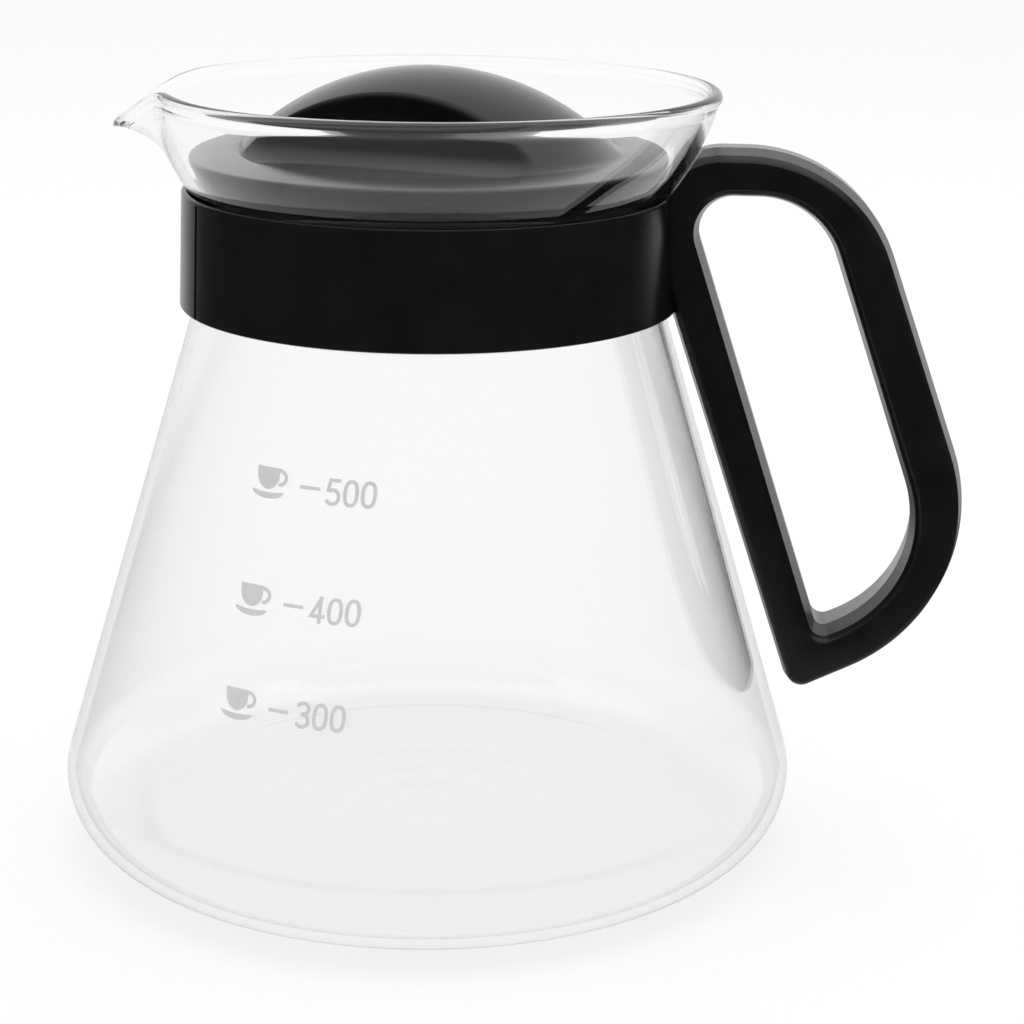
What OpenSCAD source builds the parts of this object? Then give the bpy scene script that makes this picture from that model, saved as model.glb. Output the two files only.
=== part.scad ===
// Glass coffee server: conical jar with a pouring spout, neck collar with a loop handle, lift-off lid.
// The origin is on the jar's axis at table level, +Z is up, +X points to the handle, the spout is at -X.

/* [Glass jar] */
// Radius of the flat base that the jar stands on
base_r = 47; // [42:0.5:52]
// Radius of the rounded heel between the base and the wall
heel_r = 11; // [8:0.5:14]
// Lean of the conical wall from upright, in degrees
cone_angle = 16.75; // [14:0.25:19]
// Height where the conical wall bends into the neck
neck_z = 93.5; // [86:0.5:98]
// Bend radius of the neck, outside the glass
throat_bend_r = 9; // [7:0.25:10]
// Steepest lean of the flare above the neck, in degrees
flare_angle = 42; // [38:0.5:46]
// Lean of the glass at the rim, in degrees
lip_angle = 14; // [10:0.5:18]
// Height of the rim, below its bead
rim_z = 118; // [115:0.2:124]
// Thickness of the glass
glass_wall = 1.5; // [1.2:0.1:1.8]
// Thickness of the fire-polished bead on the rim
rim_bead = 1.8; // [1.5:0.1:2.4]

/* [Spout] */
// How far the lip is drawn out at the spout
spout_reach = 7.6; // [5:0.1:10]
// How far the lip dips at the spout
spout_drop = 6.5; // [4:0.1:9]
// Half width of the drawn lip, in degrees round the rim
spout_spread_angle = 12; // [9:0.5:16]
// Distance of the spout's root below the collar's top edge
spout_root_drop = 1.2; // [0:0.1:1.5]
// How far the rim is pinched in on both sides of the spout
spout_pinch = 2.8; // [0:0.1:3.2]

/* [Collar] */
// Distance from the neck bend down to the lower edge of the collar
collar_drop = 7.8; // [5:0.1:10]
// Height of the collar
collar_h = 17.5; // [14:0.1:18]
// Wall of the collar at its lower edge
collar_wall = 1.9; // [1.5:0.05:2.6]
// Wall of the collar at its upper edge
collar_lip = 0.75; // [0.6:0.05:1.2]
// Clearance between the glass and the plastic round it
glass_fit = 0.3; // [0.2:0.05:0.5]
// Place of the collar's seam, in degrees round from the spout
seam_angle = 33; // [20:1:60]

/* [Handle] */
// Width of the handle across both halves
handle_w = 13.4; // [11.5:0.1:16]
// Rounding of the handle's long edges
handle_edge_r = 1.1; // [0.6:0.1:1.4]
// Distance of the joint between the halves in front of the middle
joint_offset = 2.2; // [0.5:0.1:3]
// How much the front half narrows on each side from the joint to its rounded edge
front_draft = 0.7; // [0.1:0.1:1]
// How much the rear half narrows on each side from the joint to its rounded edge
rear_draft = 0.5; // [0.1:0.1:0.8]
// Height of the handle's top above the collar
handle_rise = 7.5; // [5:0.1:8.5]
// Reach of the top bar from the collar to its outer corner
top_reach = 26.6; // [24:0.1:32]
// Reach of the grip from the collar to its lower corner
grip_reach = 51.5; // [46:0.1:58]
// Height of the grip's lower corner above the table
grip_foot_z = 41.8; // [38:0.1:46]
// Height of the handle's foot above the table
leg_foot_z = 25.6; // [22:0.1:29]
// Gap between the leg and the jar at the collar
leg_gap_top = 1.5; // [0.8:0.1:2]
// Gap between the leg and the jar at the foot
leg_gap_foot = 3.6; // [2:0.1:5]
// Height of the top bar
top_bar = 7.2; // [6:0.1:8.5]
// Thickness of the leg at the top
leg_bar_top = 7.7; // [6.5:0.1:9]
// Thickness of the leg at the foot
leg_bar_foot = 7.3; // [6.5:0.1:9]
// Thickness of the grip at the top
grip_bar_top = 8.5; // [7:0.1:10]
// Thickness of the grip at its lower corner
grip_bar_foot = 9.2; // [7:0.1:10]
// Rise of the opening's lower outer corner above the grip's lower corner
hole_foot_rise = 2.2; // [1:0.1:5]
// Rise of the opening's lower inner corner above the handle's foot
hole_leg_rise = 10.3; // [9:0.1:12]

/* [Lid] */
// Height of the lid's seat above the neck bend
lid_seat_rise = 11.2; // [10:0.1:12]
// Height of the lid's flange
flange_h = 4.5; // [3.5:0.1:5.5]
// How much the flange widens from its seat to its top
flange_taper = 1.2; // [0.8:0.1:1.6]
// Radius of the dome over the lid
dome_r = 39; // [36:0.5:44]
// Height of the dome above the flange
dome_rise = 12.3; // [10:0.1:13]
// Half width of the grip bar where its walls meet the lid
bar_half_w = 14.9; // [12:0.1:17]
// Lean of the grip bar's walls, in degrees
bar_draft_angle = 11; // [6:0.5:14]
// Fillet radius at the foot of the grip bar
bar_fillet_r = 4.6; // [3:0.1:5.5]
// Depth of the scoops beside the grip bar, below the flange
scoop_depth = 0.5; // [0.3:0.1:1]
// Wall of the lid
lid_wall = 2; // [1.6:0.1:2.4]
// Depth of the lid's plug below its seat
plug_depth = 6.2; // [4:0.1:8]
// Clearance between the plug and the glass neck
plug_fit = 0.55; // [0.4:0.05:0.9]
// Clearance between the lid's seat and the glass flare
seat_fit = 0.5; // [0.4:0.05:0.7]
// Turn of the grip bar from the handle, in degrees
lid_turn_angle = -16; // [-90:1:90]

/* [Hidden] */
$fn = 96;

// Small sizes of the jar
flare_joint_lap = 0.9;
flare_joint_inset = 0.2;
throat_steps = 5;
bowl_steps = 6;
bead_steps = 5;
spout_step_angle = 3;
rim_step_angle = 9;
spout_zone_angle = 45;
pinch_flat_angle = 17;
pinch_end_angle = 70;
reach_onset_power = 3;
drop_onset_power = 2;
pinch_onset_power = 1.5;

// Small sizes of the collar's seam
seam_gap = 0.25;
lap_len_angle = 7;
joint_sweep_angle = 8;
lap_fit = 0.1;
seam_cap_h = 0.5;

// Small sizes of the handle
grip_top_r = 23.7;
grip_foot_r = 28.6;
leg_foot_r = 3;
root_r = 11;
hole_root_r = 5.2;
hole_top_r = 12.3;
hole_foot_r = 19.4;
hole_leg_r = 1.6;
corner_steps = 12;
corner_max_share = 0.88;
edge_steps = 4;

// Small sizes of the screws
screw_d = 2.2;
screw_head_d = 3.6;
screw_head_h = 1.5;
screw_sink = 3;
screw_len = 7;
screw_fit = 0.1;
drive_w = 0.6;
drive_len = 2.2;
drive_depth = 0.8;
leg_screw_drop = 4.5;

// Small sizes of the lid
flange_edge_r = 0.8;
flange_foot_r = 0.5;
lid_round_steps = 5;

// One overrun for all cuts
overrun = 1;

// Derived places on the glass
throat_c = [cone_r(neck_z, 0), neck_z] + throat_bend_r * [cos(cone_angle), sin(cone_angle)];
flare_start = polar(throat_c, throat_bend_r, 180 - flare_angle);
bowl_r = (rim_z - flare_start.y) / (sin(flare_angle) - sin(lip_angle));
bowl_c = flare_start - bowl_r * [cos(flare_angle), -sin(flare_angle)];
throat_in_r = throat_c.x - throat_bend_r - glass_wall;

// Derived places on the collar
collar_z = neck_z - collar_drop;
collar_top_z = collar_z + collar_h;
collar_in_r = cone_r(collar_z, 0) + glass_fit;
collar_r = collar_in_r + collar_wall;
collar_top_in_r = glass_r(collar_top_z, 0) + glass_fit;
collar_top_r = max(collar_in_r, collar_top_in_r) + collar_lip;
collar_lap_r = (collar_in_r + min(collar_r, collar_top_r)) / 2;
seam_dir = seam_angle - 180;
seam_gap_angle = seam_gap / collar_r * 180 / PI;
spout_root_z = collar_top_z - spout_root_drop;

// Derived places on the handle
handle_top_z = collar_top_z + handle_rise;
leg_top = [cone_r(collar_z, 0) + leg_gap_top, collar_z];
leg_foot = [cone_r(leg_foot_z, 0) + leg_gap_foot, leg_foot_z];
grip_top = [collar_r + top_reach, handle_top_z];
grip_foot = [collar_r + grip_reach, grip_foot_z];
hole_top_z = handle_top_z - top_bar;
hole_leg_z = leg_foot_z + hole_leg_rise;
hole_foot_z = grip_foot_z + hole_foot_rise;
handle_corners = [[leg_x(handle_top_z), handle_top_z], grip_top, grip_foot, leg_foot];
handle_radii = [root_r, grip_top_r, grip_foot_r, leg_foot_r];
hole_corners = [
    [leg_x(hole_top_z) + leg_bar_top, hole_top_z],
    [grip_x(hole_top_z) - grip_bar_top, hole_top_z],
    [grip_x(hole_foot_z) - grip_bar_foot, hole_foot_z],
    [leg_x(hole_leg_z) + leg_bar_foot, hole_leg_z]
];
hole_radii = [hole_root_r, hole_top_r, hole_foot_r, hole_leg_r];
leg_screw_z = collar_z - leg_screw_drop;
screw_places = [
    [leg_x(leg_screw_z) + (leg_bar_top + leg_bar_foot) / 4, leg_screw_z],
    (leg_foot + hole_corners[3]) / 2,
    [(grip_top.x + leg_x(handle_top_z)) / 2, handle_top_z - top_bar / 2]
];
screw_seat_y = handle_w / 2 - screw_sink - screw_head_h;

// Derived places on the lid
lid_seat_z = neck_z + lid_seat_rise;
lid_seat_r = glass_r(lid_seat_z, glass_wall) - seat_fit;
flange_z = lid_seat_z + flange_h;
flange_r = lid_seat_r + flange_taper;
floor_z = flange_z - scoop_depth;
dome_c_z = flange_z + dome_rise - dome_r;
dome_base_r = sqrt(pow(dome_r, 2) - pow(flange_z - dome_c_z, 2));
plug_r = throat_in_r - plug_fit;
plug_z = lid_seat_z - plug_depth;
bar_top_z = flange_z + dome_rise + overrun;

// A point at radius r and angle a round a centre
function polar(c, r, a) = c + r * [cos(a), sin(a)];

// Radius of the conical wall at height z, measured d inside the outer face
function cone_r(z, d) =
    base_r + (heel_r - d) / cos(cone_angle) - (z - heel_r) * tan(cone_angle);

// Radius of the neck and flare at height z, measured d inside the outer face
function glass_r(z, d) =
    z < flare_start.y
        ? throat_c.x - sqrt(pow(throat_bend_r + d, 2) - pow(z - throat_c.y, 2))
        : bowl_c.x + sqrt(pow(bowl_r - d, 2) - pow(z - bowl_c.y, 2));

// The neck and flare from below to above, d inside the outer face, as [radius, height, rise share]
function rise_share(p) = max(0, p.y - spout_root_z) / (rim_z - spout_root_z);
function throat_point(i, d) =
    polar(throat_c, throat_bend_r + d, 180 + cone_angle - i * (cone_angle + flare_angle) / throat_steps);
function bowl_point(i, d) =
    polar(bowl_c, bowl_r - d, -flare_angle + i * (flare_angle - lip_angle) / bowl_steps);
function flare_section(d) = concat(
    [for (i = [1:throat_steps]) concat(throat_point(i, d), rise_share(throat_point(i, 0)))],
    [for (i = [1:bowl_steps - 1]) concat(bowl_point(i, d), rise_share(bowl_point(i, 0)))]
);

// Closed section of the flare: up the outside, over the bead and down the inside
bead_c = polar(bowl_c, bowl_r - glass_wall / 2, -lip_angle);
joint_z = neck_z - flare_joint_lap;
bead_section = [
    for (i = [0:bead_steps]) concat(polar(bead_c, rim_bead / 2, 180 * i / bead_steps - lip_angle), 1)
];
inner_section = flare_section(glass_wall);
flare_loop = concat(
    [[cone_r(joint_z, 0) - flare_joint_inset, joint_z, 0]],
    flare_section(0),
    bead_section,
    [for (i = [len(inner_section) - 1:-1:0]) inner_section[i]],
    [[cone_r(joint_z, glass_wall) + flare_joint_inset, joint_z, 0]]
);

// Shape of the spout at angle a round from it: the drawn lip and the pinch beside it
function spout_share(a) = exp(-pow(a / spout_spread_angle, 2));
function pinch_ramp(a) = min(1, max(0, (pinch_end_angle - abs(a)) / (pinch_end_angle - pinch_flat_angle)));
function pinch_share(a) = (1 - cos(180 * pinch_ramp(a))) / 2;
function flare_point(s, a) =
    let (
        out = spout_reach * spout_share(a) * pow(s[2], reach_onset_power),
        in = spout_pinch * pinch_share(a) * pow(s[2], pinch_onset_power),
        down = spout_drop * spout_share(a) * pow(s[2], drop_onset_power),
        r = s[0] + out - in
    )
    [-r * cos(a), -r * sin(a), s[1] - down];
rim_angles = concat(
    [for (a = [-spout_zone_angle:spout_step_angle:spout_zone_angle - spout_step_angle]) a],
    [for (a = [spout_zone_angle:rim_step_angle:360 - spout_zone_angle - rim_step_angle]) a]
);
function signed_angle(a) = a > 180 ? a - 360 : a;

// Straight edges of the handle
function along(p, q, z) = p.x + (q.x - p.x) * (z - p.y) / (q.y - p.y);
function leg_x(z) = along(leg_foot, leg_top, z);
function grip_x(z) = along(grip_top, grip_foot, z);

// Rounded outline through corners p with radii full, moved in by d, each arc drawn in a number of steps
function unit(v) = v / norm(v);
function corner_arc(a, c, b, full, d, steps) =
    let (
        u = unit(a - c),
        v = unit(b - c),
        half = acos(u * v) / 2,
        r = min(full, corner_max_share * min(norm(a - c), norm(b - c)) * tan(half)),
        m = c + unit(u + v) * r / sin(half),
        p = c + u * r / tan(half) - m,
        q = c + v * r / tan(half) - m,
        start = atan2(p.y, p.x),
        turn = (atan2(q.y, q.x) - start + 540) % 360 - 180
    )
    [for (i = [0:steps]) polar(m, r - d, start + turn * i / steps)];
function rounded(p, r, d, steps) = [
    for (i = [0:len(p) - 1])
        each r[i] == 0
            ? [p[i]]
            : corner_arc(p[(i + len(p) - 1) % len(p)], p[i], p[(i + 1) % len(p)], r[i], d, steps)
];

// Solid through a closed band of rings: rows run round the band, columns round its section
module band_loft(rows) {
    n = len(rows);
    m = len(rows[0]);
    points = [for (row = rows) each row];
    faces = [
        for (i = [0:n - 1], j = [0:m - 1])
            let (
                a = i * m + j,
                b = i * m + (j + 1) % m,
                c = ((i + 1) % n) * m + (j + 1) % m,
                d = ((i + 1) % n) * m + j
            )
            each [[a, b, c], [a, c, d]]
    ];
    polyhedron(points = points, faces = faces, convexity = 6);
}

// Area inside the jar's lower wall, d inside the outer face, up to height top
module jar_area(d, top) {
    heel_end = polar([base_r, heel_r], heel_r - d, cone_angle);
    polygon([[0, d], [base_r, d], [base_r, heel_r], heel_end, [cone_r(top, d), top], [0, top]]);
    translate([base_r, heel_r])
        circle(heel_r - d);
}

// Base, heel and conical wall
module jar_body() {
    rotate_extrude()
        difference() {
            jar_area(0, neck_z);
            jar_area(glass_wall, neck_z + overrun);
        }
}

// Neck, flare, rim bead and drawn spout
module jar_flare() {
    band_loft([for (a = rim_angles) [for (s = flare_loop) flare_point(s, signed_angle(a))]]);
}

module glass_jar() {
    color([0.86, 0.9, 0.91, 0.4])
        union() {
            jar_body();
            jar_flare();
        }
}

// Neck and flare with the clearance that the plastic leaves round them, from below to above
flare_room = concat(
    [for (i = [1:throat_steps]) throat_point(i, -glass_fit)],
    [for (i = [1:bowl_steps]) bowl_point(i, -glass_fit)]
);
flare_room_top_z = flare_room[len(flare_room) - 1].y;

// Room that the handle leaves for the glass
module glass_room() {
    cone_room = [[cone_r(leg_foot_z, -glass_fit), leg_foot_z], [cone_r(neck_z, -glass_fit), neck_z]];
    rotate_extrude()
        polygon(concat([[0, leg_foot_z]], cone_room, flare_room, [[0, flare_room_top_z]]));
}

// Section of the collar, which hugs the glass at its lower and upper edges
module collar_section() {
    difference() {
        polygon([
            [collar_in_r, collar_z],
            [collar_r, collar_z],
            [collar_top_r, collar_top_z],
            [collar_in_r, collar_top_z]
        ]);
        polygon(concat([[0, neck_z]], flare_room, [[0, flare_room_top_z]]));
    }
}

// Area of the lap behind the seam, grown by g: the inner half of the wall and a cap along the top
module lap_area(g) {
    lap_in_r = collar_in_r - overrun;
    translate([lap_in_r, collar_z - overrun])
        square([collar_lap_r + g - lap_in_r, collar_h + 2 * overrun]);
    translate([lap_in_r, collar_top_z - seam_cap_h - g])
        square([collar_r + overrun - lap_in_r, seam_cap_h + g + overrun]);
}

// Area of the collar's outer skin, which ends at the seam
module skin_area() {
    translate([collar_lap_r, collar_z - overrun])
        square([collar_r + overrun - collar_lap_r, collar_h - seam_cap_h + overrun]);
}

// An area turned round the jar's axis, from one angle to another
module turned(from, to) {
    rotate([0, 0, from])
        rotate_extrude(angle = to - from)
            children();
}

// One half of the loop handle, from the joint at y = joint_y to its face on the +Y side
module handle_loft(joint_y, draft) {
    edge_y = handle_w / 2 - handle_edge_r;
    layers = concat(
        [[0, joint_y]],
        [
            for (i = [0:edge_steps])
                let (a = 90 * i / edge_steps)
                [draft + handle_edge_r * (1 - cos(a)), edge_y + handle_edge_r * sin(a)]
        ]
    );
    outer = [for (l = layers) rounded(handle_corners, handle_radii, l[0], corner_steps)];
    inner = [for (l = layers) rounded(hole_corners, hole_radii, -l[0], corner_steps)];
    last = len(layers) - 1;
    band_loft([
        for (k = [0:len(outer[0]) - 1])
            concat(
                [for (i = [0:last]) [outer[i][k].x, layers[i][1], outer[i][k].y]],
                [for (i = [last:-1:0]) [inner[i][k].x, layers[i][1], inner[i][k].y]]
            )
    ]);
}

// The handle half trimmed to the glass
module handle_side(joint_y, draft) {
    difference() {
        handle_loft(joint_y, draft);
        glass_room();
    }
}

// Room on one side of the joint at the handle, from y = y0 on over the collar's radius
module joint_room(y0) {
    translate([0, y0, collar_z - overrun])
        cube([collar_r + overrun, collar_r, collar_h + 2 * overrun]);
}

// A straight cylinder along Y at each screw, from y0 to y1
module at_screws(d, y0, y1) {
    for (p = screw_places)
        translate([p.x, y0, p.y])
            rotate([-90, 0, 0])
                cylinder(d = d, h = y1 - y0);
}

// Half nearer the front: its share of the collar ends at the seam, over the lap of the other half
module front_handle_half() {
    color([0.07, 0.07, 0.07])
        difference() {
            union() {
                mirror([0, 1, 0])
                    handle_side(joint_offset, front_draft);
                difference() {
                    turned(seam_dir + seam_gap_angle / 2, 0)
                        collar_section();
                    joint_room(-joint_offset);
                }
            }
            turned(seam_dir, seam_dir + lap_len_angle + seam_gap_angle)
                lap_area(lap_fit);
            at_screws(screw_d + 2 * screw_fit, screw_seat_y - screw_len - screw_fit, overrun - joint_offset);
        }
}

// Half at the back: its share of the collar carries the lap at the seam, and it takes the screw heads
module rear_handle_half() {
    color([0.07, 0.07, 0.07])
        difference() {
            union() {
                handle_side(-joint_offset, rear_draft);
                difference() {
                    turned(-joint_sweep_angle, 360 + seam_dir + lap_len_angle)
                        collar_section();
                    joint_room(-joint_offset - collar_r);
                    turned(seam_dir - seam_gap_angle / 2, seam_dir + 2 * lap_len_angle)
                        skin_area();
                }
            }
            at_screws(screw_d + 2 * screw_fit, -joint_offset - overrun, screw_seat_y + overrun);
            at_screws(screw_head_d + 2 * screw_fit, screw_seat_y, handle_w / 2 + overrun);
        }
}

// Self-tapping screws that draw the two halves together from the back
module handle_screws() {
    head_y = screw_seat_y + screw_head_h;
    color([0.55, 0.55, 0.56])
        difference() {
            union() {
                at_screws(screw_d, screw_seat_y - screw_len, screw_seat_y + overrun / 2);
                at_screws(screw_head_d, screw_seat_y, head_y);
            }
            for (p = screw_places, turn = [0, 90])
                translate([p.x, head_y, p.y])
                    rotate([0, turn, 0])
                        cube([drive_len, 2 * drive_depth, drive_w], center = true);
        }
}

// Flange, scooped floor and plug of the lid as one turned blank
module lid_blank() {
    corners = [
        [0, plug_z],
        [plug_r, plug_z],
        [plug_r, lid_seat_z],
        [lid_seat_r, lid_seat_z],
        [flange_r, flange_z],
        [dome_base_r, flange_z],
        [dome_base_r, floor_z],
        [0, floor_z]
    ];
    radii = [0, 0, 0, flange_foot_r, flange_edge_r, 0, 0, 0];
    rotate_extrude()
        polygon(rounded(corners, radii, 0, lid_round_steps));
}

// Half width of the grip bar's straight wall at height z, d inside its face
function bar_w(z, d) = bar_half_w - d / cos(bar_draft_angle) - (z - floor_z) * tan(bar_draft_angle);

// Grip bar: the dome left standing between two walls that run out into the scooped floor
module grip_bar() {
    foot = bar_half_w + bar_fillet_r * tan((90 - bar_draft_angle) / 2);
    corners = [
        [-foot, floor_z - lid_wall / 2],
        [foot, floor_z - lid_wall / 2],
        [foot, floor_z],
        [bar_w(floor_z, 0), floor_z],
        [bar_w(bar_top_z, 0), bar_top_z],
        [-bar_w(bar_top_z, 0), bar_top_z],
        [-bar_w(floor_z, 0), floor_z],
        [-foot, floor_z]
    ];
    radii = [0, 0, 0, bar_fillet_r, 0, 0, bar_fillet_r, 0];
    intersection() {
        translate([0, 0, dome_c_z])
            sphere(dome_r);
        lid_prism()
            polygon(rounded(corners, radii, 0, lid_round_steps));
    }
}

// An area drawn across the lid, run along the grip bar
module lid_prism() {
    rotate([90, 0, 90])
        linear_extrude(2 * flange_r, center = true)
            children();
}

// Hollow inside the lid: the plug's bore, the room under the grip bar and the groove under the flange
module lid_hollow() {
    ceiling_z = floor_z - lid_wall;
    translate([0, 0, plug_z - overrun])
        cylinder(r = plug_r - lid_wall, h = ceiling_z - plug_z + overrun);
    intersection() {
        translate([0, 0, dome_c_z])
            sphere(dome_r - lid_wall);
        lid_prism()
            polygon([
                [-bar_w(ceiling_z, lid_wall), ceiling_z - overrun],
                [bar_w(ceiling_z, lid_wall), ceiling_z - overrun],
                [bar_w(bar_top_z, lid_wall), bar_top_z],
                [-bar_w(bar_top_z, lid_wall), bar_top_z]
            ]);
    }
    rotate_extrude()
        translate([plug_r, lid_seat_z - overrun])
            square([lid_seat_r - lid_wall - plug_r, flange_h - lid_wall + overrun]);
}

module lid() {
    color([0.2, 0.2, 0.21])
        rotate([0, 0, lid_turn_angle])
            difference() {
                union() {
                    lid_blank();
                    grip_bar();
                }
                lid_hollow();
            }
}

glass_jar();
front_handle_half();
rear_handle_half();
handle_screws();
lid();
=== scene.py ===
"""Looks of the glass coffee server: jar, collar with its loop handle, screws, lid and printed marks."""

import math

import bmesh
import bpy
from mathutils import Matrix, Vector
from mathutils.geometry import delaunay_2d_cdt


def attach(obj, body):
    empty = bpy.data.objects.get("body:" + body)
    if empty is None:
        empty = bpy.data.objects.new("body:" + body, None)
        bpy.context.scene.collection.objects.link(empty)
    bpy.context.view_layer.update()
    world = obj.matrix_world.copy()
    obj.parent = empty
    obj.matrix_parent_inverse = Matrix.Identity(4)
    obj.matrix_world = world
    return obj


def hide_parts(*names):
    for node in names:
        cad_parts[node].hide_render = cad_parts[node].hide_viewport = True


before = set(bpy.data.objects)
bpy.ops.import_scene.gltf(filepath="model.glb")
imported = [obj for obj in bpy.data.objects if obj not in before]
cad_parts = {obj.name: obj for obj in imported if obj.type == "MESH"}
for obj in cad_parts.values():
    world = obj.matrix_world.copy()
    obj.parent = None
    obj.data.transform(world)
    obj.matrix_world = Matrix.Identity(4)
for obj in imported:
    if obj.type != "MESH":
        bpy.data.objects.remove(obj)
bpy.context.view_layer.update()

# Lengths are in millimetres and angles in degrees, as in the part's source
MM = 0.001

# Glass jar
BASE_R = 47
HEEL_R = 11
CONE_ANGLE = 16.75
NECK_Z = 93.5
THROAT_BEND_R = 9
FLARE_ANGLE = 42
LIP_ANGLE = 14
RIM_Z = 117.4
GLASS_WALL = 1.5
RIM_BEAD = 2.2
GLASS_FIT = 0.3

# Spout
SPOUT_REACH = 6.45
SPOUT_DROP = 6.0
SPOUT_SPREAD = 12
SPOUT_PINCH = 2.8
SPOUT_FAR_PINCH = 0.5
SPOUT_ROOT_DROP = 1.2
PINCH_FLAT = 17
PINCH_END = 70
REACH_POWER = 3
DROP_POWER = 2
PINCH_POWER = 1.5

# Steps along and round the glass
JAR_COLUMNS = 360
BASE_STEPS = 24
HEEL_STEPS = 28
WALL_STEPS = 24
FLARE_STEPS = 18
BEAD_STEPS = 16

# Collar
COLLAR_Z = NECK_Z - 7.8
COLLAR_TOP_Z = COLLAR_Z + 17.5
COLLAR_WALL = 1.9
COLLAR_LIP = 0.75
COLLAR_EDGE_R = 0.35
COLLAR_LEAD_SLOPE = 2
SEAM_DIR = 33 - 180
SEAM_GAP = 0.9
SEAM_CAP = 0.5
SEAM_LAP = 7
LAP_ROOT = 2
CAP_ROOT = 1.5
LAP_FIT = 0.1
CAP_FIT = 0.04

# Handle
HANDLE_W = 13.4
JOINT_Y = -2.2
JOINT_BEVEL = 0.12
EDGE_R = 1.1
EDGE_START_ANGLE = 30
FRONT_DRAFT = 0.7
REAR_DRAFT = 0.5
HANDLE_TOP_Z = COLLAR_TOP_Z + 7.5
TOP_REACH = 26.6
GRIP_REACH = 51.5
GRIP_FOOT_Z = 41.8
LEG_FOOT_Z = 25.6
LEG_GAP_TOP = 1.5
LEG_GAP_FOOT = 3.6
TOP_BAR = 7.2
LEG_BAR_TOP = 7.7
LEG_BAR_FOOT = 7.3
GRIP_BAR_TOP = 8.5
GRIP_BAR_FOOT = 9.2
HOLE_FOOT_RISE = 2.2
HOLE_LEG_RISE = 10.3
HANDLE_RADII = (11, 23.7, 28.6, 3)
HOLE_RADII = (5.2, 12.3, 19.4, 1.6)
CORNER_MAX_SHARE = 0.88
CORNER_STEPS = 30
EDGE_STEPS = 6
CUT_OVERRUN = 1
BORE_STEP = 0.01

# Screws
SCREW_D = 2.2
SCREW_HEAD_D = 3.6
SCREW_HEAD_H = 1.5
SCREW_SINK = 3
SCREW_LEN = 7
SCREW_FIT = 0.1
LEG_SCREW_DROP = 4.5
HEAD_RIM_SHARE = 0.35
HEAD_STEPS = 8
THREAD_TURNS = 14
THREAD_START = 0.5
THREAD_END = 1.1
THREAD_DEPTH = 0.16
THREAD_CREST = 0.12
THREAD_W = 0.3
POINT_LEN = 0.8
POINT_SHARE = 0.7
CROSS_SLOT = (2.0, 1.6, 0.55)
SCREW_SIDES = 32
BORE_SIDES = 48

# Lid
LID_SEAT_Z = NECK_Z + 11.2
FLANGE_H = 4.5
FLANGE_TAPER = 1.2
FLANGE_CROWN = 0.5
FLANGE_EDGE_R = 0.7
FLANGE_FOOT_R = 0.5
SEAT_FIT = 0.5
DOME_R = 42
DOME_RISE = 12.3
DOME_CROWN = 1.2
SCOOP_R = 28.4
BAR_HALF_W = 14.9
BAR_DRAFT = 11
BAR_FILLET_R = 4.6
BAR_EDGE_SOFTNESS = 3
BAR_END_FADE = 5
SCOOP_DEPTH = 1.5
SCOOP_RIM = 0.9
LID_WALL = 2
PLUG_DEPTH = 6.2
PLUG_FIT = 0.55
PLUG_EDGE_R = 0.6
SKIRT_LEAN = 12
HOLLOW_SOFTNESS = 2
HOLLOW_EDGE_SLOPE = 2
LID_TURN = -16

# Rows across the lid, with the closer rows over the bar's walls and the scoops' rims
LID_ROWS = 100
LID_COLUMNS = 110
BAR_WALL_ROWS = (9.5, 20.5, 70)
SCOOP_RIM_ROWS = (25.5, 29.6, 30)
POLE_R = 0.001
FLANGE_EDGE_STEPS = 8
FLANGE_FOOT_STEPS = 5
PLUG_EDGE_STEPS = 4

# Printed marks: place round the jar and height of the dash, digits and their lower left corner
MARKS = (
    (-105.76, 66.38, "500", 2.45, -2.2),
    (-106.36, 50.2, "400", 2.65, -2.05),
    (-106.78, 35.77, "300", 2.7, -2.0),
)
INK_LIFT = 0.02
INK_THICK = 0.02
DASH = ((-1.57, 0), (1.55, 0))
DASH_W = 0.5
EAR_W = 0.52
DIGIT_W = 2.3
DIGIT_H = 3.9
DIGIT_PITCH = 2.62
DIGIT_STROKE = 0.54
DIGIT_STEPS = 24
CUP_STEPS = 5
EAR_STEPS = 6
MITRE_LEAST = 0.4
MARK_CUTS = (-10, 11, 42)

# Angles between faces past which a piece shows an edge
JAR_CREASE = 60
HANDLE_CREASE = 15
COLLAR_CREASE = 32
BORE_CREASE = 30
SCREW_CREASE = 35
LID_CREASE = 40
INK_CREASE = 40

# Distances at which points are merged
PIECE_MERGE = 0.001
JAR_MERGE = 0.002
LID_MERGE = 0.004
INK_MERGE = 0.001
LOOP_MERGE = 0.00001

# Finishes: grey of the darkest and lightest spots, roughness, and scale and depth of the grain
HANDLE_FINISH = {"dark": (0.005,) * 3, "light": (0.008,) * 3, "rough": 0.26, "scale": 2600, "depth": 0.03}
LID_FINISH = {
    "dark": (0.0015, 0.0015, 0.0016),
    "light": (0.003, 0.003, 0.0031),
    "rough": 0.18,
    "scale": 3200,
    "depth": 0.03,
}
MOTTLE_SCALE = 140
SHEEN_SPREAD = 0.06
GRAIN_STRENGTH = 0.35
GLASS_WHITE = (0.99, 0.99, 0.988, 1)
GLASS_IOR = 1.47
WAVE_SCALE = 14
WAVE_STRENGTH = 0.06
WAVE_DEPTH = 0.35
RING_SHARE = 0.35
RING_PITCH = 7.5
RING_FADE = (22, 44)
RING_RISE = (2, 6)
STEEL_DARK = (0.36, 0.36, 0.37)
STEEL_LIGHT = (0.62, 0.62, 0.63)
STEEL_ROUGH = 0.28
STEEL_SPREAD = 0.14
STEEL_SCALE = 2200
INK_DARK = (0.62, 0.62, 0.62)
INK_LIGHT = (0.7, 0.7, 0.7)
INK_ROUGH = 0.6
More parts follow.
